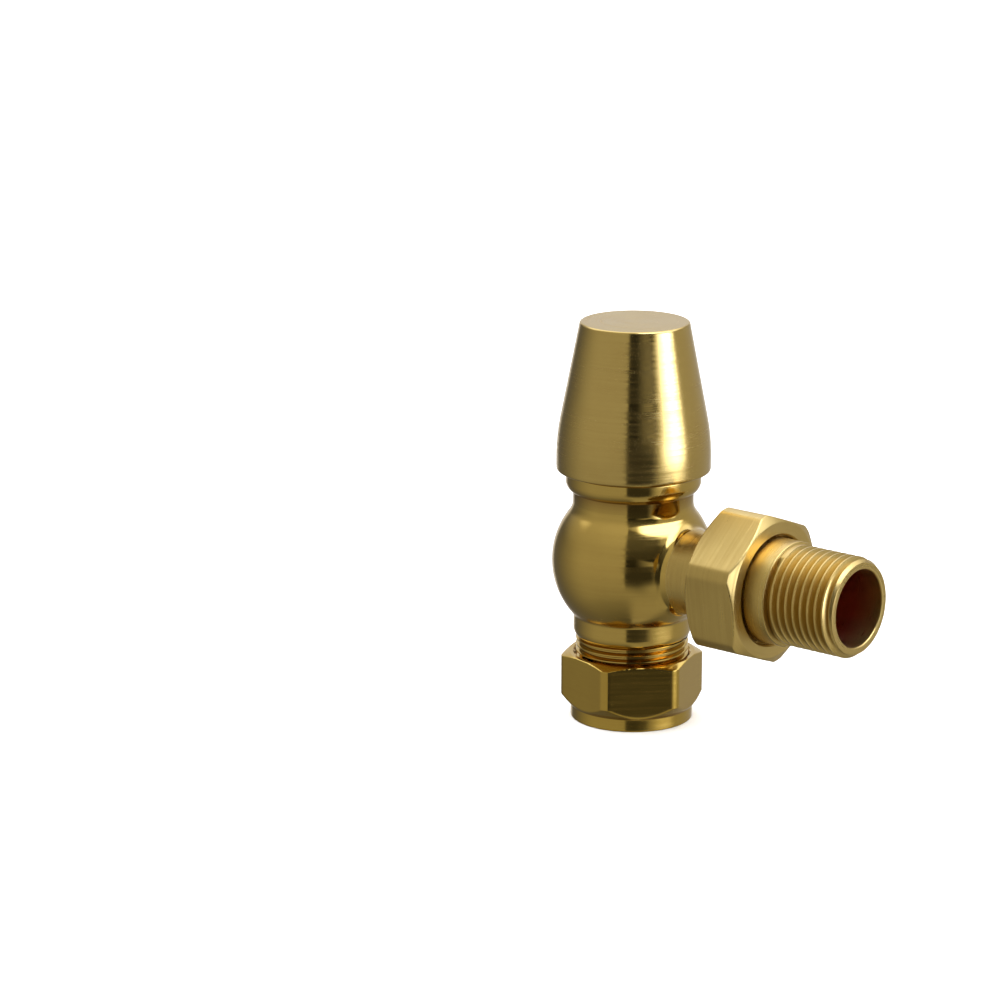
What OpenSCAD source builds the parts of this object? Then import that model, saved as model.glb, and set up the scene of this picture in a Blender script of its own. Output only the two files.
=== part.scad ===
// Angle lockshield valve for a radiator, in brass.
// The pipe enters from below and is held by a compression nut and an olive. A union nut
// joins the body to a tail that screws into the radiator. A plain push-on cap hides the
// square spindle, so that the setting can't be changed by hand.
// +Z runs up the spindle and +X along the radiator tail. The origin is the centre of the
// pipe entry, in the bottom face of the compression nut. All sizes are millimetres.

/* [Body] */
// Height of the outlet's axis above the pipe entry
outlet_h = 34.5; // [34.3:0.1:34.9]
// Radius of the ball in the middle of the body
ball_r = 17.2; // [17:0.1:18]
// Radius of the neck above the ball
neck_r = 12.8; // [12.6:0.1:13.2]
// Radius of the shoulder that the cap sits over
shoulder_r = 14.35; // [14.2:0.05:14.8]
// Radius of the collar below the ball
foot_r = 12.55; // [12.4:0.05:13]
// Radius of the plain outlet neck
outlet_r = 9; // [8.8:0.1:9.6]
// Radius of the seat's opening
seat_r = 5.6; // [5:0.1:5.8]

/* [Cap] */
// Height of the cap
cap_h = 31.7; // [31.6:0.1:33]
// Largest radius of the cap, at its foot
cap_foot_r = 16.35; // [16.2:0.05:16.8]
// Radius of the cap at its top edge
cap_top_r = 11.65; // [11.5:0.05:12]
// Angle of the cap's taper from upright, in degrees
cap_taper = 11; // [10.5:0.5:11.5]

/* [Pipe side] */
// Outside diameter of the copper pipe
pipe_d = 15; // [14.8:0.1:15]
// Major diameter of the compression thread
compression_d = 24; // [24:0.05:24.2]
// Pitch of the compression thread, 19 turns to the inch
compression_pitch = 1.337; // [1.3:0.001:1.34]
// Height of the compression nut
compression_nut_h = 14.3; // [14:0.1:14.6]
// Compression nut size across its flats
compression_af = 27; // [27:0.1:27.6]
// Compression nut diameter over its turned corners
compression_corner_d = 30.4; // [30:0.1:31]

/* [Radiator side] */
// Major diameter of the tail's half inch pipe thread
tail_thread_d = 20.955; // [20.8:0.005:20.955]
// Pitch of the tail and union threads, 14 turns to the inch
pipe_pitch = 1.814; // [1.8:0.001:1.82]
// Diameter of the tail's plain shank
shank_d = 22; // [21.8:0.1:22.2]
// Diameter of the tail's bore
tail_bore_d = 16.2; // [15.8:0.1:16.4]
// Distance from the spindle's axis to the tail's end
tail_end = 58.3; // [58.3:0.1:60]
// Major diameter of the body's three-quarter inch union thread
union_d = 26.441; // [26.3:0.001:26.441]
// Distance from the spindle's axis to the union nut's back face
union_start = 24.9; // [24.8:0.1:25]
// Length of the union nut
union_l = 12.45; // [12.3:0.05:12.6]
// Union nut size across its flats
union_af = 29.2; // [29:0.1:30]
// Union nut diameter over its turned corners
union_corner_d = 32.4; // [32:0.1:33]

/* [Headwork] */
// Bonnet size across its flats
bonnet_af = 21; // [20:0.5:21]
// Radius of the bonnet's plain land that the cap's ring grips
land_r = 10.5; // [10:0.1:10.5]
// Gland nut size across its flats
gland_af = 16; // [15:0.5:16]
// Diameter of the spindle's plain shank
spindle_d = 7.9; // [7.5:0.1:7.9]
// Major diameter of the spindle's thread
spindle_thread_d = 10; // [9.8:0.1:10]
// Pitch of the spindle's thread
spindle_pitch = 1; // [1:0.25:1.25]
// Width across the flats of the spindle's square head
square_w = 5.4; // [5:0.1:5.4]

/* [Fits] */
// Radial clearance of a piece that turns or slides in another
running_gap = 0.05; // [0.03:0.01:0.08]
// Gap between two faces that meet at rest
face_gap = 0.02; // [0.01:0.01:0.03]

/* [Hidden] */
$fn = 96;

brass = "#b59a4e";
dark_brass = "#8f7436";
pale_brass = "#cdb878";
rubber = "#26241f";
steel = "#9a9ca0";
packing = "#e6e2d6";

// Heights up the spindle's axis
body_foot = 6.3;
body_top = outlet_h + 19.4;
pipe_stop = 18;
seat_foot = 27.8;
seat_top = 29.6;
chamber_floor = seat_top - 1;
chamber_top = 38.5;
bonnet_foot = 45.4;
thread_run_top = 56.2;
bonnet_seal_h = 0.8;
flange_top = body_top + bonnet_seal_h + 1.3;
bonnet_hex_top = 61;
land_top = 66;
packing_foot = 63.5;
washer_foot = 65.5;
gland_foot = 66.2;
bonnet_top = 69.5;
gland_hex_foot = 69.8;
gland_top = 73.6;
spindle_top = 79.4;
cap_foot = body_top + 0.4;
cap_ceiling = cap_h - 2;

// Radii that pieces share
socket_r = pipe_d / 2 + running_gap;
inlet_r = 6.6;
waterway_r = 7;
chamber_r = 12.6;
spindle_bore_r = spindle_d / 2 + running_gap;
bonnet_thread_r = 9.95;
bonnet_pitch = 1;
gland_thread_r = 5.95;
gland_pitch = 0.8;
washer_r = 5.9;
thread_gap = 0.03;
nut_thread_gap = 0.08;
union_bore_r = union_d / 2 + nut_thread_gap;
nose_r = 10;
union_hole_r = 11.55;

// Depth that the parts of the body's blank run into its ball, and how far a cut runs on
// past the face it opens in, or goes right through
sink = 8;
past = 1;
through = 200;

// Depth of a 14 turns to the inch pipe thread, and of the compression thread
pipe_thread_depth = 1.16;
compression_thread_depth = 0.86;

// Places along the outlet's axis
union_thread_start = 25.6;
union_thread_end = 33;
union_shoulder = 34.97;
nose_start = 29;
shank_end = 42.1;
o_ring_r = 0.95;
union_groove_start = 30.1;
union_groove_l = 2.05;

// Slope of the two cones that squeeze the olive, radius per length
olive_slope = 0.42;
olive_top = 10;
olive_foot = 2.8;
olive_r = 8.94;
cone_top = 10.7;

// Points of an arc, from angle a0 to angle a1
function arc(centre, r, a0, a1, steps = 10) = [
    for (i = [0:steps])
        let (a = a0 + (a1 - a0) * i / steps)
        centre + r * [cos(a), sin(a)]
];

// Outline of a thread cut into a shaft, as rings: z0 is where the first groove starts
function male_thread(r, depth, pitch, z0, turns) = [
    for (i = [0:turns - 1], p = [[-0.46, -depth], [-0.08, 0], [0.08, 0], [0.46, -depth]])
        [r + p[1], z0 + (i + 0.5 + p[0]) * pitch]
];

// Outline of a thread cut into a bore of radius r
function female_thread(r, depth, pitch, z0, turns) = [
    for (i = [0:turns - 1], p = [[-0.46, 0], [-0.1, depth], [0.1, depth], [0.46, 0]])
        [r + p[1], z0 + (i + 0.5 + p[0]) * pitch]
];

module turned(outline) {
    rotate_extrude() polygon(outline);
}

module ring(r_in, r_out, z0, z1) {
    turned([[r_in, z0], [r_out, z0], [r_out, z1], [r_in, z1]]);
}

module o_ring(inside_r, section_r, z) {
    rotate_extrude() translate([inside_r + section_r, z]) circle(section_r);
}

// Puts what is drawn along +Z onto the outlet's axis, along +X
module along_outlet() {
    translate([0, 0, outlet_h]) rotate([0, 90, 0]) children();
}

// A turned blank with six flats
module hex_blank(af, turn, outline) {
    intersection() {
        turned(outline);
        rotate([0, 0, turn]) cylinder(r = af / 2 / cos(30), h = through, center = true, $fn = 6);
    }
}

// ---- Body ----

// The fillet from the ball to a plain neck of radius r, as [radius, distance from the
// ball's centre]. It bites a little into the ball, so that the two meet at an edge.
function ball_fillet(r, fillet_r) =
    let (
        bite = 0.03,
        out = r + fillet_r,
        centre = [out, sqrt((ball_r + fillet_r - bite) ^ 2 - out ^ 2)]
    )
    arc(centre, fillet_r, 180 + atan2(centre[1], centre[0]), 180);

// Neck, with the shoulder that curls out from it under the cap
module body_upper() {
    curl_r = 2.5;
    curl_centre = [shoulder_r - curl_r, body_top - 1.95];
    curl_start = -acos((neck_r - curl_centre[0]) / curl_r);
    edge = 0.3;
    turned(concat(
        [[0, outlet_h + sink], [sink, outlet_h + sink]],
        [for (p = ball_fillet(neck_r, 4)) p + [0, outlet_h]],
        arc(curl_centre, curl_r, curl_start, 0),
        [[shoulder_r, body_top - edge], [shoulder_r - edge, body_top], [0, body_top]]
    ));
}

// Collar below the ball, which rounds in to the compression thread
module body_lower() {
    turns = 8;
    root_r = compression_d / 2 - compression_thread_depth;
    thread_top = outlet_h - 16.5;
    thread_foot = thread_top - turns * compression_pitch;
    round_r = 2.7;
    round_centre = [foot_r - round_r, outlet_h - 14.6];
    edge = 0.4;
    turned(concat(
        [[0, body_foot], [root_r - edge, body_foot], [root_r, body_foot + edge]],
        male_thread(compression_d / 2, compression_thread_depth, compression_pitch,
                    thread_foot, turns),
        [[root_r, thread_top + past], [0, thread_top + past]]
    ));
    turned(concat(
        [[0, outlet_h - sink], [sink, outlet_h - sink]],
        [for (p = ball_fillet(foot_r, 0.8)) [p[0], outlet_h - p[1]]],
        arc(round_centre, round_r, 0, -42),
        [[root_r - edge, thread_top], [0, thread_top]]
    ));
}

// Outlet neck, its fillet to the ball, and the union thread
module body_outlet() {
    root_r = union_d / 2 - pipe_thread_depth;
    turns = 4;
    along_outlet() turned(concat(
        [[0, sink], [sink, sink]],
        ball_fillet(outlet_r, 3),
        [[outlet_r, union_thread_start], [root_r, union_thread_start]],
        male_thread(union_d / 2, pipe_thread_depth, pipe_pitch, union_thread_start + 0.1, turns),
        [[root_r - 0.3, union_thread_end], [0, union_thread_end]]
    ));
}

// Cut up the spindle's axis: the olive's cone, pipe socket, seat, chamber and bonnet thread
module body_bore() {
    cut_foot = body_foot - past;
    seat_land = 1.3;
    corner_r = 2;
    corner = [chamber_r - corner_r, chamber_floor + corner_r];
    bore_r = bonnet_thread_r + thread_gap;
    bore_foot = 43.6;
    thread_foot = 44.5;
    turns = 8;
    turned(concat(
        [[0, cut_foot], [socket_r + olive_slope * (cone_top - cut_foot), cut_foot],
         [socket_r, cone_top], [socket_r, pipe_stop], [inlet_r, pipe_stop],
         [inlet_r, seat_foot - (inlet_r - seat_r)], [seat_r, seat_foot], [seat_r, seat_top],
         [seat_r + seat_land, seat_top], [seat_r + seat_land + 0.6, chamber_floor]],
        arc(corner, corner_r, -90, 0, 6),
        [[chamber_r, chamber_top], [bore_r, bore_foot]],
        female_thread(bore_r, 0.5, bonnet_pitch, thread_foot, turns),
        [[bore_r, body_top + past], [0, body_top + past]]
    ));
}

// Cut along the outlet's axis: the waterway and the socket for the tail's nose
module outlet_bore() {
    cut_start = 8.2;
    socket_start = 28.7;
    nose_bore_r = nose_r + running_gap;
    lead_in = 0.9;
    along_outlet() turned([
        [0, cut_start], [waterway_r, cut_start], [waterway_r, socket_start],
        [nose_bore_r, socket_start], [nose_bore_r, union_thread_end - lead_in],
        [nose_bore_r + lead_in, union_thread_end], [nose_bore_r + lead_in, union_thread_end + past],
        [0, union_thread_end + past]
    ]);
}

module valve_body() {
    color(brass) difference() {
        union() {
            translate([0, 0, outlet_h]) sphere(ball_r);
            body_upper();
            body_lower();
            body_outlet();
        }
        body_bore();
        outlet_bore();
    }
}

// ---- Headwork ----

bonnet_neck_r = 9.2;
bonnet_flange_r = 12.4;

// Screwed foot, flange and hexagon, with the land for the cap's ring and the collar above
module bonnet_blank() {
    corner_r = bonnet_af / 2 + 1.6;
    collar_r = 8;
    turns = 7;
    depth = 0.6;
    overlap = 0.5;
    step = 0.6;
    edge = 0.4;
    flange_foot = body_top + bonnet_seal_h;
    turned(concat(
        [[0, bonnet_foot], [bonnet_thread_r - depth, bonnet_foot]],
        male_thread(bonnet_thread_r, depth, bonnet_pitch, bonnet_foot + 0.6, turns),
        [[bonnet_neck_r, body_top - 0.6], [bonnet_neck_r, flange_foot],
         [bonnet_flange_r, flange_foot], [bonnet_flange_r, flange_top], [0, flange_top]]
    ));
    hex_blank(bonnet_af, 15, [
        [0, flange_top - overlap], [corner_r, flange_top - overlap],
        [corner_r, bonnet_hex_top - 0.9], [bonnet_af / 2 - 0.3, bonnet_hex_top],
        [0, bonnet_hex_top]
    ]);
    turned([
        [0, bonnet_hex_top - overlap], [land_r - step, bonnet_hex_top - overlap],
        [land_r - step, bonnet_hex_top + step], [land_r, bonnet_hex_top + 2 * step],
        [land_r, land_top - 0.8], [land_r - 0.8, land_top], [collar_r, land_top],
        [collar_r, bonnet_top - edge], [collar_r - edge, bonnet_top], [0, bonnet_top]
    ]);
}

module bonnet() {
    thread_bore_r = spindle_thread_d / 2 + running_gap;
    gland_bore_r = gland_thread_r + thread_gap;
    turns = floor(9 / spindle_pitch);
    lead_in = 0.5;
    color(brass) difference() {
        bonnet_blank();
        turned(concat(
            [[0, bonnet_foot - past], [thread_bore_r, bonnet_foot - past]],
            female_thread(thread_bore_r, 0.5, spindle_pitch, bonnet_foot + 0.6, turns),
            [[thread_bore_r, thread_run_top], [spindle_bore_r, thread_run_top],
             [spindle_bore_r, packing_foot], [gland_bore_r, packing_foot],
             [gland_bore_r, bonnet_top - lead_in], [gland_bore_r + lead_in, bonnet_top],
             [gland_bore_r + lead_in, bonnet_top + past], [0, bonnet_top + past]]
        ));
    }
}

module bonnet_seal() {
    color(rubber)
        ring(bonnet_neck_r + 0.1, bonnet_flange_r - 0.1, body_top, body_top + bonnet_seal_h);
}

module gland_nut() {
    hex_r = gland_af / 2;
    corner_r = hex_r + 1.1;
    depth = 0.5;
    turns = 4;
    overlap = 0.5;
    lead_in = 0.8;
    color(pale_brass) difference() {
        union() {
            turned(concat(
                [[0, gland_foot], [gland_thread_r - depth, gland_foot]],
                male_thread(gland_thread_r, depth, gland_pitch, gland_foot + 0.1, turns),
                [[gland_thread_r - depth, gland_hex_foot + overlap],
                 [0, gland_hex_foot + overlap]]
            ));
            hex_blank(gland_af, 0, [
                [0, gland_hex_foot], [hex_r, gland_hex_foot], [corner_r, gland_hex_foot + 0.6],
                [corner_r, gland_top - 0.7], [hex_r - 0.2, gland_top], [0, gland_top]
            ]);
        }
        turned([
            [0, gland_foot - past], [spindle_bore_r, gland_foot - past],
            [spindle_bore_r, gland_top - lead_in], [spindle_bore_r + lead_in, gland_top],
            [spindle_bore_r + lead_in, gland_top + past], [0, gland_top + past]
        ]);
    }
}

module gland_packing() {
    color(packing) ring(spindle_bore_r, washer_r, packing_foot, washer_foot);
}

module gland_washer() {
    color(pale_brass) ring(spindle_bore_r, washer_r, washer_foot, gland_foot);
}

// ---- Spindle ----

spindle_ring_r = 0.75;
spindle_ring_low = 57.3;
spindle_ring_high = 59.3;
spindle_groove_r = 2.45;
circlip_foot = 73.9;
circlip_h = 0.8;
circlip_groove_r = 3.1;
spindle_foot = 37.05;

// Both sides of an O-ring's groove, as points up the spindle's outline
function groove(r, groove_r, z, half) = [
    [r, z - half], [groove_r, z - half], [groove_r, z + half], [r, z + half]
];

module spindle() {
    r = spindle_d / 2;
    edge = 0.3;
    depth = 0.55;
    thread_foot = 42;
    thread_top = 52;
    turns = floor(9.6 / spindle_pitch);
    half = spindle_ring_r + running_gap;
    square_foot = circlip_foot + circlip_h + 0.5;
    corner_r = r - 0.05;
    sunk = 0.5;
    color(pale_brass) {
        turned(concat(
            [[0, spindle_foot], [r - edge, spindle_foot], [r, spindle_foot + edge],
             [r, thread_foot - 1], [r - 0.4, thread_foot]],
            male_thread(spindle_thread_d / 2, depth, spindle_pitch, thread_foot + 0.2, turns),
            [[r, thread_top]],
            groove(r, spindle_groove_r, spindle_ring_low, half),
            groove(r, spindle_groove_r, spindle_ring_high, half),
            [[r, circlip_foot], [circlip_groove_r, circlip_foot],
             [circlip_groove_r, circlip_foot + circlip_h], [r, circlip_foot + circlip_h],
             [r, square_foot], [0, square_foot]]
        ));
        intersection() {
            translate([-square_w / 2, -square_w / 2, square_foot - sunk])
                cube([square_w, square_w, spindle_top - square_foot + sunk]);
            turned([[0, square_foot - sunk], [corner_r, square_foot - sunk],
                    [corner_r, spindle_top - 0.8], [square_w / 2 - 0.1, spindle_top],
                    [0, spindle_top]]);
        }
    }
}

module spindle_circlip() {
    r = 5.4;
    gap = 3;
    cut_h = circlip_h + 2 * past;
    color(steel) translate([0, 0, circlip_foot]) difference() {
        cylinder(r = r, h = circlip_h);
        translate([0, 0, -past]) cylinder(r = circlip_groove_r, h = cut_h);
        translate([0, -gap / 2, -past]) cube([r + past, gap, cut_h]);
    }
}

module spindle_o_ring_lower() {
    color(rubber) o_ring(spindle_groove_r + face_gap, spindle_ring_r, spindle_ring_low);
}

module spindle_o_ring_upper() {
    color(rubber) o_ring(spindle_groove_r + face_gap, spindle_ring_r, spindle_ring_high);
}

// ---- Valve disc ----

seal_foot = seat_top + face_gap;
seal_top = seal_foot + 2.8;
seal_r = 8;
screw_r = 1.95;
screw_top = 36;

// Cup for the seal, with a socket above it that the spindle turns in
module disc_holder() {
    cup_r = 8.9;
    cup_foot = seal_foot + 1.2;
    cup_top = seal_top + 1.2;
    stem_r = 5.6;
    stem_foot = seal_top + 2.4;
    stem_top = 41;
    socket_floor = spindle_foot - running_gap;
    color(brass) turned([
        [screw_r, seal_top], [seal_r, seal_top], [seal_r, cup_foot], [cup_r, cup_foot],
        [cup_r, cup_top], [stem_r, stem_foot], [stem_r, stem_top], [spindle_bore_r, stem_top],
        [spindle_bore_r, socket_floor], [screw_r, socket_floor]
    ]);
}

module disc_seal() {
    color(rubber) ring(screw_r + 0.1, seal_r, seal_foot, seal_top);
}

module disc_screw() {
    head_r = 3.4;
    head_foot = seal_foot - 1.4;
    edge = 0.6;
    slot_w = 0.9;
    slot_depth = 0.7;
    color(steel) difference() {
        turned([
            [0, head_foot], [head_r - edge, head_foot], [head_r, head_foot + edge],
            [head_r, seal_foot], [screw_r, seal_foot], [screw_r, screw_top], [0, screw_top]
        ]);
        translate([-head_r - past, -slot_w / 2, head_foot - past])
            cube([2 * (head_r + past), slot_w, past + slot_depth]);
    }
}

// ---- Cap ----

// Heights here are above the cap's foot
grip_r = 0.9;
grip_z = 64 - cap_foot;
cap_land_foot = bonnet_hex_top + face_gap - cap_foot;
cap_step = 20.2;

// The cap's outline from its foot to its top: upright, bending in to the taper, round edge
function cap_side() =
    let (foot_edge = 0.35, bend_r = 45, bend_foot = 2.7, top_edge = 0.6)
    concat(
        [[cap_foot_r - foot_edge, 0], [cap_foot_r, foot_edge]],
        arc([cap_foot_r - bend_r, bend_foot], bend_r, 0, cap_taper, 4),
        arc([cap_top_r - top_edge, cap_h - top_edge], top_edge, cap_taper, 90, 3)
    );

module lockshield_cap() {
    mouth_r = 13.4;
    edge = 0.4;
    land_bore_r = land_r + 0.1;
    top_bore_r = 8;
    groove_r = land_r + 2 * (grip_r + running_gap);
    groove_half = grip_r + 0.1;
    color(brass) translate([0, 0, cap_foot]) turned(concat(
        [[mouth_r, edge], [mouth_r + edge, 0]],
        cap_side(),
        [[0, cap_h], [0, cap_ceiling], [top_bore_r, cap_ceiling], [top_bore_r, cap_step],
         [land_bore_r, cap_step], [land_bore_r, grip_z + groove_half],
         [groove_r, grip_z + groove_half], [groove_r, grip_z - groove_half],
         [land_bore_r, grip_z - groove_half], [land_bore_r, cap_land_foot],
         [mouth_r, cap_land_foot]]
    ));
}

module cap_grip_ring() {
    color(rubber) o_ring(land_r + running_gap, grip_r, cap_foot + grip_z);
}

// ---- Pipe connection ----

module compression_nut() {
    r = compression_corner_d / 2;
    turn = -14;
    collar_r = 13.05;
    collar_h = 2.7;
    edge = 0.4;
    bore_r = compression_d / 2 + nut_thread_gap;
    shoulder = 5.2;
    cone_foot = 2.1;
    lead_in = 0.5;
    turns = 6;
    color(dark_brass) difference() {
        hex_blank(compression_af, turn, [
            [0, 0], [collar_r - edge, 0], [collar_r, edge], [collar_r, collar_h],
            [r, collar_h + 2.4], [r, compression_nut_h - 0.75],
            [compression_af / 2 - 0.1, compression_nut_h], [0, compression_nut_h]
        ]);
        turned(concat(
            [[0, -past], [socket_r + lead_in, -past], [socket_r + lead_in, 0],
             [socket_r, lead_in], [socket_r, cone_foot],
             [socket_r + olive_slope * (shoulder - cone_foot), shoulder], [bore_r, shoulder]],
            female_thread(bore_r, 0.4, compression_pitch, shoulder + 0.6, turns),
            [[bore_r, compression_nut_h - lead_in], [bore_r + lead_in, compression_nut_h],
             [bore_r + lead_in, compression_nut_h + past], [0, compression_nut_h + past]]
        ));
    }
}

module olive() {
    end_r = socket_r + 0.22;
    bevel = (olive_r - end_r) / olive_slope;
    color(pale_brass) turned([
        [socket_r, olive_foot], [end_r, olive_foot], [olive_r, olive_foot + bevel],
        [olive_r, olive_top - bevel], [end_r, olive_top], [socket_r, olive_top]
    ]);
}

// ---- Radiator connection ----

module union_nut() {
    r = union_corner_d / 2;
    turn = 9.6;
    face_r = 14.3;
    chamfer = (r - face_r) * tan(30);
    lead_in = 0.6;
    hole_edge = 0.3;
    turns = 4;
    union_end = union_start + union_l;
    color(pale_brass) along_outlet() difference() {
        hex_blank(union_af, turn, [
            [0, union_start], [face_r, union_start], [r, union_start + chamfer],
            [r, union_end - chamfer], [face_r, union_end], [0, union_end]
        ]);
        turned(concat(
            [[0, union_start - past], [union_bore_r + lead_in, union_start - past],
             [union_bore_r + lead_in, union_start], [union_bore_r, union_start + lead_in]],
            female_thread(union_bore_r, 0.45, pipe_pitch, union_start + lead_in, turns),
            [[union_bore_r, union_shoulder], [union_hole_r, union_shoulder],
             [union_hole_r, union_end - hole_edge], [union_hole_r + hole_edge, union_end],
             [union_hole_r + hole_edge, union_end + past], [0, union_end + past]]
        ));
    }
}

module union_o_ring() {
    color(rubber) along_outlet() o_ring(
        nose_r - 2 * o_ring_r + face_gap, o_ring_r, union_groove_start + union_groove_l / 2
    );
}

module radiator_tail() {
    thread_r = tail_thread_d / 2;
    root_r = thread_r - pipe_thread_depth;
    turns = 8;
    thread_start = tail_end - (turns + 0.9) * pipe_pitch + 0.18;
    last_root = thread_start + turns * pipe_pitch + 0.1;
    flange_r = 12.9;
    key_bore_start = 36;
    bore_r = tail_bore_d / 2;
    groove_r = nose_r - 2 * o_ring_r;
    shank_r = shank_d / 2;
    nose_edge = 0.4;
    edge = 0.2;
    color(pale_brass) along_outlet() turned(concat(
        [[waterway_r, nose_start], [nose_r - nose_edge, nose_start],
         [nose_r, nose_start + nose_edge],
         [nose_r, union_groove_start], [groove_r, union_groove_start],
         [groove_r, union_groove_start + union_groove_l],
         [nose_r, union_groove_start + union_groove_l],
         [nose_r, union_thread_end + face_gap], [flange_r, union_thread_end + face_gap],
         [flange_r, union_shoulder - face_gap], [shank_r, union_shoulder - face_gap],
         [shank_r, shank_end - edge], [shank_r - edge, shank_end]],
        male_thread(thread_r, pipe_thread_depth, pipe_pitch, thread_start, turns),
        [[root_r, last_root], [thread_r - 0.3, tail_end - 0.75],
         [thread_r - 0.75, tail_end - 0.1], [thread_r - 0.9, tail_end],
         [bore_r + edge, tail_end], [bore_r, tail_end - edge],
         [bore_r, key_bore_start], [waterway_r, key_bore_start]]
    ));
}

valve_body();
bonnet();
bonnet_seal();
gland_nut();
gland_packing();
gland_washer();
spindle();
spindle_circlip();
spindle_o_ring_lower();
spindle_o_ring_upper();
disc_holder();
disc_seal();
disc_screw();
lockshield_cap();
cap_grip_ring();
compression_nut();
olive();
union_nut();
union_o_ring();
radiator_tail();
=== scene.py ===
"""Looks of the lockshield radiator valve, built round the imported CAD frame.

Outlines are in millimetres, as (radius, distance along the piece's axis, corner radius).
Pieces of the spindle's axis are turned about +Z, and those of the outlet about +X.
"""

import math

import bmesh
import bpy
from mathutils import Matrix, Vector


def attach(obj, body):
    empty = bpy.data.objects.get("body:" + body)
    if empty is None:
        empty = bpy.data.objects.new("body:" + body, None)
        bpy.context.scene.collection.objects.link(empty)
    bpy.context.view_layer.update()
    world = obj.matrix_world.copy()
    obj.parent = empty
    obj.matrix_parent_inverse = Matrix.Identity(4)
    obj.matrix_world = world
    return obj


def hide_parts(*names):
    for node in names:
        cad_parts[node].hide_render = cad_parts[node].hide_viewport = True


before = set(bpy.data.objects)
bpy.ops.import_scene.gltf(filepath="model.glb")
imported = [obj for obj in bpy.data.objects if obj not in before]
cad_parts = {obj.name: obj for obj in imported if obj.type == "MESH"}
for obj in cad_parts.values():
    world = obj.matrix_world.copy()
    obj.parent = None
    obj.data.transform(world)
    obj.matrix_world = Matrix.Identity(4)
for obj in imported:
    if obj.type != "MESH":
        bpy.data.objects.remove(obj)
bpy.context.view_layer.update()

MM = 0.001

# fineness of the meshes: once round, in a rounded corner, and along one turn of a thread
SEGMENTS = 256
CORNER_STEPS = 5
THREAD_STEPS = 16
SEGMENT = 2 * math.pi / SEGMENTS
ANGLES = [SEGMENT * i for i in range(SEGMENTS + 1)]
WELD = 1e-7
SHARP_ANGLE = math.radians(32)

# sizes that several pieces share: the outlet's axis and the ball, the pipe's socket, and the
# pitches of the compression thread (19 turns to the inch) and of the pipe threads (14)
OUTLET_H = 34.5
BALL_R = 17.19
SOCKET_R = 7.55
FITTING_PITCH = 1.337
PIPE_PITCH = 1.814


# ---- Mesh helpers ----


def up_z(r, angle, z):
    """A point of a piece turned about the spindle's axis."""
    return Vector((r * math.cos(angle), r * math.sin(angle), z)) * MM


def along_x(r, angle, x):
    """A point of a piece turned about the outlet's axis; angle 0 points down."""
    return Vector((x, r * math.sin(angle), OUTLET_H - r * math.cos(angle))) * MM


def soften(corners):
    """The outline of those corners, with each one that has a radius turned into an arc."""
    line = []
    count = len(corners)
    for i, corner in enumerate(corners):
        here = Vector(corner[:2])
        if len(corner) < 3:
            line.append(here)
            continue
        before = Vector(corners[i - 1][:2]) - here
        after = Vector(corners[(i + 1) % count][:2]) - here
        half = before.angle(after) / 2
        reach = min(corner[2] / math.tan(half), 0.49 * before.length, 0.49 * after.length)
        radius = reach * math.tan(half)
        middle = (before.normalized() + after.normalized()).normalized()
        centre = here + middle * radius / math.sin(half)
        start = here + before.normalized() * reach - centre
        end = here + after.normalized() * reach - centre
        sweep = math.atan2(start.x * end.y - start.y * end.x, start.dot(end))
        line += [centre + Matrix.Rotation(sweep * k / CORNER_STEPS, 2) @ start
                 for k in range(CORNER_STEPS + 1)]
    return line


def arc(centre, r, first, last, steps=24):
    """Points of an arc between two angles in degrees."""
    turns = [math.radians(first + (last - first) * k / steps) for k in range(steps + 1)]
    return [Vector((centre[0] + r * math.cos(a), centre[1] + r * math.sin(a))) for a in turns]


def plain(outline, angles=ANGLES):
    """Rows of a turned piece: one row of (radius, distance) for each point of the outline."""
    return [[(p[0], p[1])] * len(angles) for p in outline]


def skin(bm, rows, place, angles=ANGLES):
    """Joins rows of (radius, distance) into faces of a turned surface."""
    grid = [[bm.verts.new(place(r, a, z)) for (r, z), a in zip(row, angles)] for row in rows]
    for low, high in zip(grid, grid[1:]):
        for i in range(len(angles) - 1):
            bm.faces.new((low[i], low[i + 1], high[i + 1], high[i]))


def to_mesh(bm, name):
    """Welds and tidies the surface, and makes it an object with its faces outward."""
    bmesh.ops.remove_doubles(bm, verts=bm.verts, dist=WELD)
    bmesh.ops.dissolve_degenerate(bm, edges=bm.edges, dist=WELD / 10)
    bmesh.ops.recalc_face_normals(bm, faces=bm.faces)
    mesh = bpy.data.meshes.new(name)
    bm.to_mesh(mesh)
    bm.free()
    piece = bpy.data.objects.new(name, mesh)
    bpy.context.scene.collection.objects.link(piece)
    return piece


def turned(name, rows, place):
    """A closed turned piece, whose last row meets its first."""
    bm = bmesh.new()
    skin(bm, rows + rows[:1], place)
    return to_mesh(bm, name)


def thread(crest_r, root_r, pitch, start, end, phase=0.0, angles=ANGLES, limit=None, fill=None):
    """Rows of an outside helical thread between two places on the axis.

    The rows follow the helix, so that the crests stay crisp. limit gives the radius that
    the thread may not pass at a place, for chamfers, and fill the one that it may not go
    below, for run-outs. flat is the share of the pitch that is level on each side of a
    crest's and a root's middle.
    """
    rows = []
    flat = 0.1
    for k in range(round((end - start) / pitch * THREAD_STEPS) + THREAD_STEPS + 1):
        row = []
        for a in angles:
            lead = a / (2 * math.pi)
            place = min(max(start + (k / THREAD_STEPS - 1 + lead) * pitch, start), end)
            turn = ((place - start) / pitch - lead - phase) % 1
            height = min(max((0.5 - abs(turn - 0.5) - flat) / (0.5 - 2 * flat), 0), 1)
            r = root_r + (crest_r - root_r) * height
            if limit:
                r = min(r, limit(place))
            if fill:
                r = max(r, fill(place, a))
            row.append((r, place))
        rows.append(row)
    return rows


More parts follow.
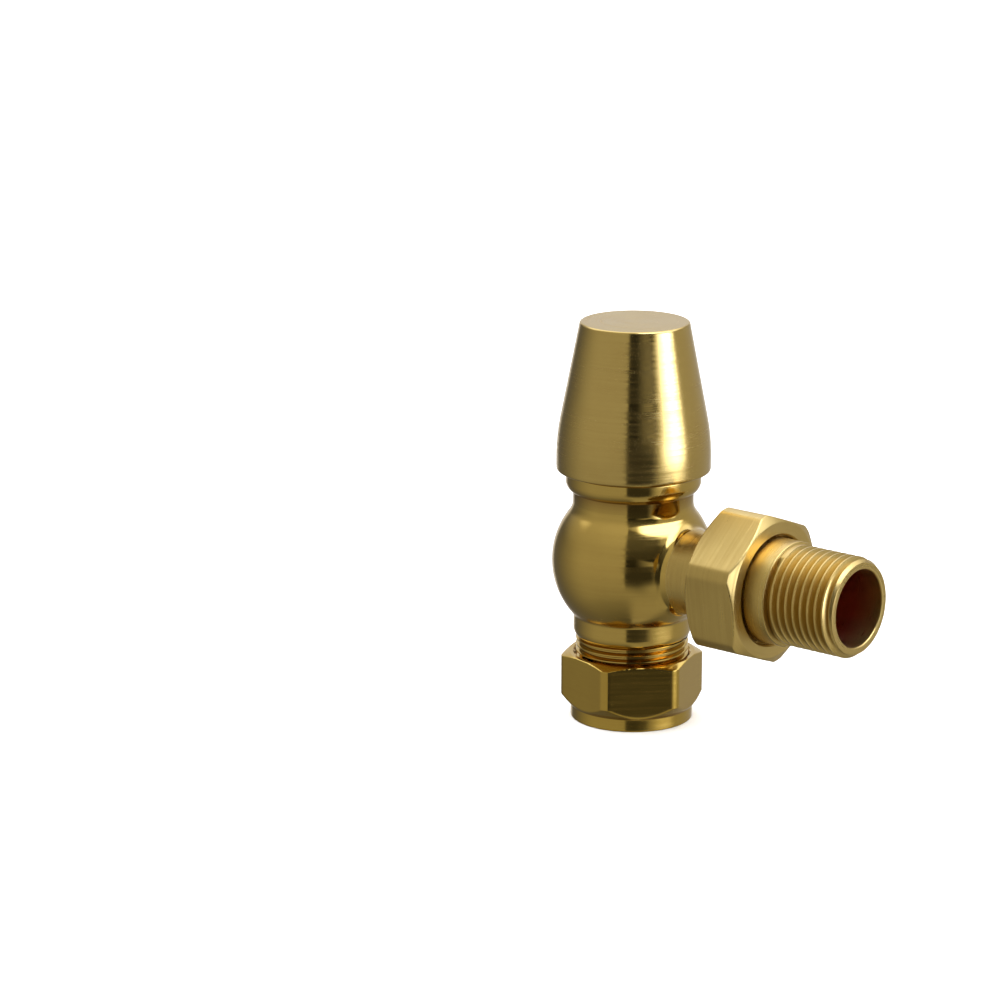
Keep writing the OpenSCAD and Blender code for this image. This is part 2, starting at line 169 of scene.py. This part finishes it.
def hexagon(outline, across, turn):
    """Rows of a turned blank with six flats, its edges rounded by about soft.

    turn is the angle in degrees of one of its corners.
    """
    rows = []
    soft = 0.22
    for p in outline:
        row = []
        for a in ANGLES:
            off = (a - math.radians(turn)) % (math.pi / 3) - math.pi / 6
            flat_r = across / 2 / math.cos(off)
            blend = max(soft - abs(flat_r - p[0]), 0) / soft
            row.append((min(flat_r, p[0]) - soft * blend * blend / 4, p[1]))
        rows.append(row)
    return rows


def spaced(line):
    """The outline cut into short steps, so that a hexagon's edges curve where they meet it."""
    step = 0.25
    fine = []
    for p, q in zip(line, line[1:]):
        count = max(1, round((q - p).length / step))
        fine += [p.lerp(q, k / count) for k in range(count)]
    return fine + [line[-1]]


def cut(piece, cutter):
    """Cuts a piece with another, and removes the cutter."""
    modifier = piece.modifiers.new("cut", "BOOLEAN")
    modifier.operation = "DIFFERENCE"
    modifier.solver = "EXACT"
    modifier.object = cutter
    depsgraph = bpy.context.evaluated_depsgraph_get()
    made = bpy.data.meshes.new_from_object(piece.evaluated_get(depsgraph))
    piece.modifiers.clear()
    piece.data = made
    bpy.data.objects.remove(cutter)


def settle(piece, body, material, node):
    """Smooths a piece's shading and hands it to its CAD body and node."""
    piece.data.shade_smooth()
    piece.data.set_sharp_from_angle(angle=SHARP_ANGLE)
    weighted = piece.modifiers.new("normals", "WEIGHTED_NORMAL")
    weighted.keep_sharp = True
    piece.data.materials.clear()
    piece.data.materials.append(material)
    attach(piece, body)
    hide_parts(node)


# ---- Materials ----

GRAIN_DEPTH = 0.02 * MM
LINE_SPACING = 0.45 * MM
# painted shade inside bores: a reddish brown
BORE_SHADE = (0.62, 0.22, 0.10)
BRASS = (0.60, 0.42, 0.12)
RICH_BRASS = (0.60, 0.405, 0.095)
STAIN = (0.38, 0.20, 0.045)
# painted shade for hollows, grooves and creases: a dark reddish brown
CREASE_SHADE = (0.16, 0.06, 0.02)


class Nodes:
    """Short hand for building one node tree."""

    def __init__(self, tree):
        self.tree = tree

    def add(self, kind, inputs=(), **settings):
        """Adds a node; inputs are (socket, value or output) pairs. Returns the node."""
        node = self.tree.nodes.new(kind)
        for key, value in settings.items():
            setattr(node, key, value)
        for socket, value in inputs:
            if isinstance(value, bpy.types.NodeSocket):
                self.tree.links.new(value, node.inputs[socket])
            else:
                node.inputs[socket].default_value = value
        return node

    def math(self, operation, *values):
        return self.add("ShaderNodeMath", enumerate(values), operation=operation).outputs[0]

    def vector(self, operation, *values, out=0):
        node = self.add("ShaderNodeVectorMath", enumerate(values), operation=operation)
        return node.outputs[out]

    def scale(self, vector, factor):
        node = self.add("ShaderNodeVectorMath", [(0, vector), ("Scale", factor)], operation="SCALE")
        return node.outputs[0]

    def blend(self, factor, first, second):
        """Mixes two plain values."""
        node = self.add("ShaderNodeMix", [(0, factor), (2, first), (3, second)], data_type="FLOAT")
        return node.outputs[0]

    def noise(self, vector, scale, detail, rough):
        node = self.add("ShaderNodeTexNoise", [("Vector", vector), ("Scale", scale),
                                               ("Detail", detail), ("Roughness", rough)])
        return node.outputs["Fac"]

    def remap(self, value, low, high, to_low=0.0, to_high=1.0, kind="LINEAR"):
        node = self.add("ShaderNodeMapRange", [(0, value), (1, low), (2, high), (3, to_low),
                                               (4, to_high)], interpolation_type=kind)
        return node.outputs[0]

    def mix(self, factor, first, second):
        """Mixes two colours."""
        node = self.add("ShaderNodeMix", data_type="RGBA")
        for socket, value in ((0, factor), (6, first), (7, second)):
            if isinstance(value, bpy.types.NodeSocket):
                self.tree.links.new(value, node.inputs[socket])
            else:
                node.inputs[socket].default_value = value if socket == 0 else (*value, 1)
        return node.outputs[2]


def new_material(name):
    """A new material's nodes and its shader."""
    material = bpy.data.materials.new(name)
    material.use_nodes = True
    return material, Nodes(material.node_tree), material.node_tree.nodes["Principled BSDF"]


def metal(name, colour, stain, roughness, along_outlet=False, brushed=0.6, depth=1.0, sway=0.014,
          crease_shade=0.7, bore=None):
    """Turned metal. Fine lines run round the piece's axis: they tilt the surface a little to
    either side by sway, and the highlights stretch across them. The colour is mottled towards
    stain, hollows and grooves are darkened with painted shade by crease_shade, and edges are a little
    polished.

    depth scales the relief of the lines. bore is (radius, place of its mouth): inside that radius the
    colour turns towards a painted reddish shade, more so away from the mouth.
    """
    material, n, shader = new_material(name)
    axis = (1, 0, 0) if along_outlet else (0, 0, 1)
    centre = (0, 0, OUTLET_H * MM) if along_outlet else (0, 0, 0)
    place = n.vector("SUBTRACT", n.add("ShaderNodeTexCoord").outputs["Object"], centre)
    along = n.vector("DOT_PRODUCT", place, axis, out=1)
    out = n.vector("SUBTRACT", place, n.vector("MULTIPLY", place, axis))
    radius = n.vector("LENGTH", out, out=1)
    geometry = n.add("ShaderNodeNewGeometry").outputs
    normal = geometry["Normal"]

    def to_world(vector):
        node = n.add("ShaderNodeVectorTransform", [(0, vector)], vector_type="VECTOR",
                     convert_from="OBJECT", convert_to="WORLD")
        return node.outputs[0]

    # the lines are long: their noise hardly changes round the axis
    slow = n.scale(n.vector("NORMALIZE", out), 0.6)

    def lines_across(step):
        lengthwise = n.scale(axis, n.math("MULTIPLY", step, 1 / LINE_SPACING))
        return n.noise(n.vector("ADD", slow, lengthwise), 1.0, 4.0, 0.65)

    # end faces have rings, and walls have lines one above the other
    facing = n.math("ABSOLUTE", n.vector("DOT_PRODUCT", normal, to_world(axis), out=1))
    lines = n.blend(n.remap(facing, 0.6, 0.8), lines_across(along), lines_across(radius))
    blotch = n.noise(place, 90.0, 4.0, 0.6)
    speck = n.noise(place, 2600.0, 2.0, 0.5)

    mottle = n.math("ADD", n.remap(blotch, 0.45, 0.75, 0.0, 0.14), n.remap(lines, 0.4, 0.7, 0.0, 0.1))
    tint = n.mix(mottle, colour, stain)
    # painted shade: hollow places, found by pointiness, are darkened towards a dark reddish brown
    tint = n.mix(n.remap(geometry["Pointiness"], 0.43, 0.49, crease_shade, 0.0), tint, CREASE_SHADE)
    # painted shade inside the bore, stronger away from its mouth
    if bore:
        wall, mouth = bore
        inside = n.remap(radius, wall * MM, (wall + 0.1) * MM, 1.0, 0.0)
        deep = n.remap(along, (mouth - 6) * MM, mouth * MM, 1.0, 0.0)
        tint = n.mix(n.math("MULTIPLY", inside, deep), tint, BORE_SHADE)
    n.tree.links.new(tint, shader.inputs["Base Color"])
    shader.inputs["Metallic"].default_value = 1
    shine = n.math("ADD", n.remap(lines, 0.3, 0.7, -0.09, 0.09), n.remap(blotch, 0.3, 0.7, -0.03, 0.03))
    shine = n.math("ADD", shine, n.remap(geometry["Pointiness"], 0.505, 0.54, 0.0, -0.05))
    n.tree.links.new(n.math("ADD", shine, roughness), shader.inputs["Roughness"])
    shader.inputs["Anisotropic"].default_value = brushed
    round_axis = n.vector("NORMALIZE", to_world(n.vector("CROSS_PRODUCT", axis, out)))
    n.tree.links.new(n.vector("CROSS_PRODUCT", round_axis, normal), shader.inputs["Tangent"])
    tilt = n.scale(round_axis, n.remap(lines, 0.3, 0.7, -sway, sway))
    relief = n.math("ADD", lines, n.math("MULTIPLY", speck, 0.15))
    bump = n.add("ShaderNodeBump", [("Height", relief), ("Strength", 0.25 * depth),
                                    ("Distance", GRAIN_DEPTH),
                                    ("Normal", n.vector("NORMALIZE", n.vector("ADD", normal, tilt)))])
    n.tree.links.new(bump.outputs[0], shader.inputs["Normal"])
    return material


def soft_stuff(name, colour, light, roughness, grain):
    """Rubber or packing: a matt moulded surface with fine grain and faint marbling."""
    material, n, shader = new_material(name)
    place = n.add("ShaderNodeTexCoord").outputs["Object"]
    marble = n.noise(place, 400.0, 4.0, 0.6)
    fine = n.noise(place, grain, 3.0, 0.6)
    n.tree.links.new(n.mix(n.remap(marble, 0.35, 0.7), colour, light), shader.inputs["Base Color"])
    n.tree.links.new(n.remap(fine, 0.3, 0.7, roughness - 0.1, roughness + 0.1),
                     shader.inputs["Roughness"])
    bump = n.add("ShaderNodeBump", [("Height", fine), ("Strength", 0.3), ("Distance", GRAIN_DEPTH)])
    n.tree.links.new(bump.outputs[0], shader.inputs["Normal"])
    return material


satin = metal("satin_brass", BRASS, STAIN, 0.2)
satin_outlet = metal("satin_brass_outlet", BRASS, STAIN, 0.36, along_outlet=True, brushed=0.4)
bright = metal("bright_brass", RICH_BRASS, STAIN, 0.13, brushed=0.2, depth=0.3, sway=0.004)
bright_outlet = metal("bright_brass_outlet", BRASS, STAIN, 0.34, along_outlet=True, brushed=0.2,
                      depth=0.5, crease_shade=0.15, bore=(8.2, 57.6))
dark = metal("dark_brass", (0.58, 0.38, 0.07), STAIN, 0.14, brushed=0.3, depth=0.3, sway=0.002)
finishes = {
    "inner_brass": metal("inner_brass", (0.62, 0.45, 0.15), STAIN, 0.24, brushed=0.5),
    "seal_rubber": soft_stuff("seal_rubber", (0.012, 0.012, 0.011), (0.03, 0.029, 0.027), 0.6, 5000.0),
    "gland_packing": soft_stuff("gland_packing", (0.72, 0.70, 0.64), (0.82, 0.80, 0.75), 0.45, 3000.0),
    "clip_steel": metal("clip_steel", (0.55, 0.56, 0.58), (0.3, 0.29, 0.28), 0.25, brushed=0.3),
}


# ---- Cap ----


def lockshield_cap():
    """A tapered shell, bored in steps round the headwork, with a groove for its grip ring."""
    cap_foot, height = 54.3, 31.7
    foot_r, top_r, bend_r, bend_start, taper, top_soft = 16.35, 11.65, 45, 2.7, 11, 0.55
    bore_r, wide_r, mouth_r, groove_r = 8, 10.6, 13.4, 12.4
    roof, wide_top, groove_top, groove_foot, mouth_top = height - 2, 20.2, 10.7, 8.7, 6.72
    foot = soften([(13.8, 0, 0.1), (foot_r - 0.02, 0, 0.45), (foot_r, 0.9)])
    side = arc((foot_r - bend_r, bend_start), bend_r, 0, taper)
    top = arc((top_r - top_soft, height - top_soft), top_soft, taper, 90, 8)
    inside = soften([
        (0, roof), (bore_r, roof, 0.5), (bore_r, wide_top, 0.2), (wide_r, wide_top, 0.3),
        (wide_r, groove_top), (groove_r, groove_top), (groove_r, groove_foot), (wide_r, groove_foot),
        (wide_r, mouth_top, 0.2), (mouth_r, mouth_top, 0.4), (mouth_r, 0.4)])
    outline = [*foot, *side, *top, Vector((0, height)), *inside]
    return turned("lockshield_cap", plain([(p.x, p.y + cap_foot) for p in outline]), up_z)


settle(lockshield_cap(), "cap", satin, "lockshield_cap")


# ---- Valve body ----

# segments of the ball, to each side of the outlet, that are left out for the window
WINDOW = 36


def ball_fillet(r, fillet_r, steps=10):
    """The fillet from the ball to a plain neck, as (radius, distance from the ball's centre)."""
    out = r + fillet_r
    centre = (out, math.sqrt((BALL_R + fillet_r) ** 2 - out**2))
    return arc(centre, fillet_r, 180 + math.degrees(math.atan2(centre[1], centre[0])), 180, steps)


def window_patch(latitudes, fillet):
    """The ball's patch from the edge of its window to the start of the outlet's fillet: the
    angles round the outlet, and rows of (radius, distance from the ball's centre)."""
    steps = 16
    edge_a = SEGMENT * WINDOW
    across = [SEGMENT * i for i in range(-WINDOW, WINDOW + 1)]
    # once round the edge, as directions from the ball's centre
    edge = [(a, latitudes[0]) for a in across] + [(edge_a, t) for t in latitudes[1:]]
    edge += [(a, latitudes[-1]) for a in across[-2::-1]] + [(-edge_a, t) for t in latitudes[-2::-1]]
    sights = [Vector((math.cos(t) * math.cos(a), math.cos(t) * math.sin(a), math.sin(t)))
              for a, t in edge]
    around = [math.atan2(s.y, -s.z) for s in sights]
    for i in range(1, len(around)):
        while around[i] < around[i - 1] - 1e-9:
            around[i] += 2 * math.pi
    spread = [math.acos(s.x) for s in sights]
    tangent = math.atan2(fillet[0].x, fillet[0].y)
    rows = []
    for k in range(steps + 1):
        off_axis = [wide + (tangent - wide) * k / steps for wide in spread]
        rows.append([(BALL_R * math.sin(t), BALL_R * math.cos(t)) for t in off_axis])
    return around, rows


def bore_body(body):
    """Cuts the way for the pipe, the seat and the headwork's bore, and the outlet's way."""
    cone_foot, pipe_stop, inlet_r, seat_foot, seat_r, seat_top = 6.4, 18, 6.6, 26.8, 5.6, 29.6
    chamber_r, chamber_foot, headwork_r, way_out = 12.6, 28.6, 9.98, 55
    inside = [(0, 5), (10, 5), (9.35, cone_foot), (SOCKET_R, 10.7), (SOCKET_R, pipe_stop),
              (inlet_r, pipe_stop), (inlet_r, seat_foot), (seat_r, seat_foot + 1), (seat_r, seat_top),
              (6.9, seat_top), (7.5, chamber_foot), (chamber_r, chamber_foot, 2), (chamber_r, 38.5),
              (headwork_r, 43.6), (headwork_r, way_out), (0, way_out)]
    cut(body, turned("bore", plain(soften(inside)), up_z))
    outlet_r, nose_r, mouth_r, nose_start, mouth_start = 7, 10.05, 10.95, 28.7, 33
    outlet = [(0, 8.2), (outlet_r, 8.2), (outlet_r, nose_start), (nose_r, nose_start), (nose_r, 32.1),
              (mouth_r, mouth_start), (mouth_r, 34), (0, 34)]
    cut(body, turned("outlet_bore", plain(soften(outlet)), along_x))


def valve_body():
    """The outer skin in three parts that share edges: the turned ends, the ball round a
    window, and the window's patch from the ball to the outlet's fillet."""
    foot, thread_foot, thread_top, top = 6.3, 7.3, 18, 53.9
    crest_r, root_r, collar_r, neck_r, shoulder_r = 12, 11.14, 12.55, 12.8, 14.35
    neck_fillet, foot_fillet = ball_fillet(neck_r, 4), ball_fillet(collar_r, 0.8)
    low = -math.atan2(foot_fillet[0].y, foot_fillet[0].x)
    high = math.atan2(neck_fillet[0].y, neck_fillet[0].x)
    count = 60
    latitudes = [low + (high - low) * k / count for k in range(count + 1)]

    bm = bmesh.new()
    lower = [(0, foot), (root_r - 0.3, foot, 0.1), (root_r, foot + 0.4, 0.1), (root_r, thread_foot)]
    skin(bm, plain(soften(lower)), up_z)
    skin(bm, thread(crest_r, root_r, FITTING_PITCH, thread_foot, thread_top, phase=0.4), up_z)
    bulge_r, bulge_h = 2.7, OUTLET_H - 14.6
    bulge = arc((collar_r - bulge_r, bulge_h), bulge_r, -42, 0, 12)
    under_ball = [Vector((p.x, OUTLET_H - p.y)) for p in reversed(foot_fillet)]
    skin(bm, plain([Vector((root_r, thread_top)), *bulge, *under_ball]), up_z)
    curl_r = 2.5
    curl = (shoulder_r - curl_r, top - 1.95)
    curl_start = -math.degrees(math.acos((neck_r - curl[0]) / curl_r))
    over_ball = [Vector((p.x, OUTLET_H + p.y)) for p in neck_fillet]
    rim = soften([(shoulder_r, top - 0.6), (shoulder_r, top, 0.35), (8, top)])[1:]
    skin(bm, plain([*over_ball, *arc(curl, curl_r, curl_start, 0), *rim, Vector((0, top))]), up_z)

    columns = [SEGMENT * i for i in range(WINDOW, SEGMENTS - WINDOW + 1)]
    ball = [[(BALL_R * math.cos(t), OUTLET_H + BALL_R * math.sin(t))] * len(columns)
            for t in latitudes]
    skin(bm, ball, up_z, columns)

    outlet_r, union_crest_r, union_root_r, union_start, union_end = 9, 13.22, 12.06, 25.6, 32.9
    fillet = ball_fillet(outlet_r, 3, 16)
    around, patch = window_patch(latitudes, fillet)
    skin(bm, patch, along_x, around)
    neck = [*fillet, (outlet_r, union_start - 0.2), (outlet_r + 0.2, union_start)]
    skin(bm, plain([*neck, (union_root_r, union_start)], around), along_x, around)
    union = thread(union_crest_r, union_root_r, PIPE_PITCH, union_start, union_end, angles=around,
                   limit=lambda x: 12.1 + (union_end - x) * 1.6)
    skin(bm, union, along_x, around)
    end = [(union_root_r, union_end), (union_root_r - 0.16, union_end + 0.1), (0, union_end + 0.1)]
    skin(bm, plain(end, around), along_x, around)
    body = to_mesh(bm, "valve_body")
    bore_body(body)
    return body


def finish_outlet(body, material, start):
    """Gives the outlet's neck, beyond start, a finish that is turned about its own axis."""
    body.data.materials.append(material)
    for face in body.data.polygons:
        if face.center.x > start * MM:
            face.material_index = 1


body = valve_body()
settle(body, "valve", bright, "valve_body")
finish_outlet(body, bright_outlet, start=15.8)


# ---- Nuts ----


def compression_nut():
    """A hexagon with a round collar below, bored for its thread, the olive's cone and the pipe."""
    corner_r, collar_r, across, height, turn = 15.2, 13.05, 27, 14.3, -14
    thread_r, thread_foot, cone_r, cone_foot = 12.08, 5.2, 8.852, 2.1
    outside = spaced(soften([
        (7.9, 0), (collar_r, 0, 0.3), (collar_r, 2.7, 0.1), (corner_r, 5.1, 0.15),
        (corner_r, height - 0.75, 0.15), (across / 2 - 0.1, height, 0.15), (12.6, height)]))
    inside = [(thread_r, height - 0.5), (thread_r, thread_foot), (cone_r, thread_foot),
              (SOCKET_R, cone_foot), (SOCKET_R, 0.3), (SOCKET_R + 0.3, 0)]
    return turned("compression_nut", hexagon(outside, across, turn) + plain(inside), up_z)


def union_nut():
    """A hexagon chamfered at both ends, bored for its thread and, beyond it, for the shank."""
    corner_r, face_r, across, start, length, turn = 16.2, 14.3, 29.2, 24.9, 12.45, 9.6
    thread_r, thread_end, shank_bore_r = 13.3, 34.97, 11.55
    end = start + length
    chamfer = (corner_r - face_r) * math.tan(math.radians(30))
    outside = spaced(soften([
        (13.9, start), (face_r, start, 0.2), (corner_r, start + chamfer, 0.15),
        (corner_r, end - chamfer, 0.15), (face_r, end, 0.2), (11.9, end)]))
    inside = [(shank_bore_r, end - 0.35), (shank_bore_r, thread_end), (thread_r, thread_end),
              (thread_r, start + 0.6), (thread_r + 0.55, start)]
    return turned("union_nut", hexagon(outside, across, turn) + plain(inside), along_x)


settle(compression_nut(), "compression_nut", dark, "compression_nut")
settle(union_nut(), "union_nut", satin_outlet, "union_nut")


# ---- Tail ----


def radiator_tail():
    """The nose with its O-ring's groove, the flange, the plain shank and the radiator's thread."""
    nose_start, nose_r, groove_r, groove_start, groove_end = 29, 10, 8.1, 30.1, 32.15
    flange_r, flange_start, flange_end, shank_r, shank_end = 12.9, 33.02, 34.95, 11, 42.1
    crest_r, root_r, thread_start, end, phase = 10.4775, 9.32, 42.5, 58.299, 0.4
    nose_bore_r, bore_r, bore_start = 7, 8.1, 36
    before = soften([
        (nose_bore_r, bore_start), (nose_bore_r, nose_start, 0.2), (nose_r, nose_start, 0.4),
        (nose_r, groove_start, 0.1), (groove_r, groove_start, 0.2), (groove_r, groove_end, 0.2),
        (nose_r, groove_end, 0.1), (nose_r, flange_start, 0.05), (flange_r, flange_start, 0.1),
        (flange_r, flange_end, 0.1), (shank_r, flange_end, 0.2), (shank_r, shank_end, 0.25),
        (root_r + 0.3, shank_end + 0.2, 0.2), (root_r, thread_start)])

    def chamfer(x):
        return crest_r - 0.35 - (x - (end - 0.9)) * 0.8

    def run_out(x, angle):
        """The first groove is filled on the upper side, where the thread starts. The filling
        fades in from 36 to 66 degrees, and out from 210 to 224."""
        degrees = math.degrees(angle)
        crest = thread_start + (0.5 + phase + degrees / 360) % 1 * PIPE_PITCH
        if not shank_end < x < crest:
            return 0
        share = min(max((degrees - 36) / 30, 0), 1) * min(max((224 - degrees) / 14, 0), 1)
        return root_r + (crest_r - root_r) * share

    shank = [[(max(p.x, run_out(p.y, a)), p.y) for a in ANGLES] for p in before]
    turns = thread(crest_r, root_r, PIPE_PITCH, thread_start, end - 0.1, phase, limit=chamfer,
                   fill=run_out)
    after = soften([(9.6, end, 0.1), (bore_r + 0.15, end, 0.1), (bore_r, end - 0.2, 0.1),
                    (bore_r, bore_start)])
    return turned("radiator_tail", shank + turns + plain(after), along_x)


settle(radiator_tail(), "tail", bright_outlet, "radiator_tail")


# ---- Hidden pieces, as the CAD made them ----

for finish, names in {
    "inner_brass": ["bonnet", "gland_nut", "gland_washer", "spindle", "disc_holder", "olive"],
    "seal_rubber": ["bonnet_seal", "spindle_o_ring_lower", "spindle_o_ring_upper", "disc_seal",
                    "cap_grip_ring", "union_o_ring"],
    "gland_packing": ["gland_packing"],
    "clip_steel": ["spindle_circlip", "disc_screw"],
}.items():
    for name in names:
        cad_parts[name].data.materials.clear()
        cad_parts[name].data.materials.append(finishes[finish])


# ---- Stage ----

# the camera's direction from the valve: its angle from -Y towards +X, and above the floor
CAMERA_BEARING = math.radians(40.156)
CAMERA_ELEVATION = math.radians(14.776)
CAMERA_PLACE = (0.46147, -0.5898, 0.24423)
LENS = 131.12
SENSOR = 36
FLOOR_LIGHT = 2.4


def floor():
    """A pale matt floor that the metal doesn't mirror."""
    bpy.ops.mesh.primitive_plane_add(size=6)
    ground = bpy.context.object
    ground.name = "floor"
    material = bpy.data.materials.new("floor")
    material.use_nodes = True
    shader = material.node_tree.nodes["Principled BSDF"]
    shader.inputs["Base Color"].default_value = (0.9, 0.9, 0.9, 1)
    shader.inputs["Roughness"].default_value = 0.9
    ground.data.materials.append(material)
    ground.visible_glossy = False


def camera():
    """The photograph's point of view."""
    level = math.cos(CAMERA_ELEVATION)
    back = Vector((math.sin(CAMERA_BEARING) * level, -math.cos(CAMERA_BEARING) * level,
                   math.sin(CAMERA_ELEVATION)))
    data = bpy.data.cameras.new("camera")
    data.lens = LENS
    data.sensor_width = SENSOR
    viewer = bpy.data.objects.new("camera", data)
    viewer.location = CAMERA_PLACE
    viewer.rotation_mode = "QUATERNION"
    viewer.rotation_quaternion = (-back).to_track_quat("-Z", "Y")
    bpy.context.scene.collection.objects.link(viewer)
    bpy.context.scene.camera = viewer


def studio():
    """White light for the floor, and a room of cards that only the metal mirrors.

    The room is described by bearing and height in degrees, as seen from the valve. Bearing 0
    is towards the camera, and bearings grow to the camera's right. Each card covers what came
    before it inside its two spans. A span is (value, start, end, blur of each).
    """
    world = bpy.data.worlds.new("studio")
    bpy.context.scene.world = world
    world.use_nodes = True
    world.cycles.sampling_method = "NONE"
    n = Nodes(world.node_tree)
    sight = n.add("ShaderNodeTexCoord").outputs["Generated"]
    turn = n.add("ShaderNodeVectorRotate", [("Vector", sight), ("Angle", -CAMERA_BEARING)],
                 rotation_type="Z_AXIS")
    parts = n.add("ShaderNodeSeparateXYZ", [(0, turn.outputs[0])]).outputs
    bearing = n.math("DEGREES", n.math("ARCTAN2", parts["X"], n.math("MULTIPLY", parts["Y"], -1.0)))
    height = n.math("DEGREES", n.math("ARCSINE", parts["Z"]))
    slanted = n.math("ADD", height, n.math("MULTIPLY", bearing, 0.3))
    away = n.math("ABSOLUTE", bearing)

    def span(value, start, end, blur_start, blur_end):
        """1 between two angles and 0 outside."""
        rising = n.remap(value, start - blur_start / 2, start + blur_start / 2, kind="SMOOTHSTEP")
        falling = n.remap(value, end - blur_end / 2, end + blur_end / 2, 1.0, 0.0, "SMOOTHSTEP")
        return n.math("MULTIPLY", rising, falling)

    walls = n.remap(height, -50.0, -2.0, 0.33, 0.50)
    light = n.math("ADD", walls, n.remap(height, -80.0, -40.0, -0.20, 0.0))
    light = n.math("ADD", light, n.remap(height, 20.0, 65.0, 0.0, 0.2))
    panel = n.remap(height, 5.0, 50.0, 0.015, 0.16)
    for across, upward, level in (
        # the dark ground behind on the left, and the dim ground in front
        ((bearing, -163, -108, 10, 70), (height, -90, 14, 5, 24), 0.16),
        ((bearing, -5, 75, 25, 40), (height, -100, -40, 5, 25), 0.42),
        # pale cards on the right, below the strip light and beside it
        ((bearing, 48, 80, 24, 20), (height, -45, 0, 20, 4), 0.8),
        ((bearing, 24, 60, 16, 20), (height, 2, 11, 4, 4), 0.7),
        # the dark panel in front: its left side, its lower part and its upper part
        ((bearing, -13, 14, 4, 30), (slanted, -26, 54, 28, 6), panel),
        ((bearing, -13, 31, 4, 18), (height, -22, 4, 14, 3), 0.05),
        ((bearing, -13, 46, 4, 12), (slanted, 16, 54, 3, 6), panel),
        # the strip light on the right, and the two lights overhead
        ((bearing, 49, 75, 36, 22), (height, -10, 11, 10, 8), 9.0),
        ((bearing, 14, 102, 22, 16), (slanted, 55, 92, 5, 20), 5.0),
        ((bearing, 40, 200, 40, 5), (height, 70, 100, 16, 5), 3.0),
        # the pale wall behind, and the light above it
        ((away, 156, 200, 12, 5), (height, -22, 100, 6, 5), 0.82),
        ((away, 105, 200, 30, 5), (height, 32, 100, 16, 5), 1.95),
    ):
        light = n.blend(n.math("MULTIPLY", span(*across), span(*upward)), light, level)

    mirrored = n.add("ShaderNodeLightPath").outputs["Is Glossy Ray"]
    cool = n.math("MULTIPLY", mirrored, n.remap(light, 0.6, 2.4))
    sky = world.node_tree.nodes["Background"].inputs
    n.tree.links.new(n.mix(cool, (1.0, 1.0, 1.0), (0.85, 0.96, 1.45)), sky["Color"])
    n.tree.links.new(n.blend(mirrored, FLOOR_LIGHT, light), sky["Strength"])


floor()
camera()
studio()
bpy.context.scene.view_settings.view_transform = "Standard"
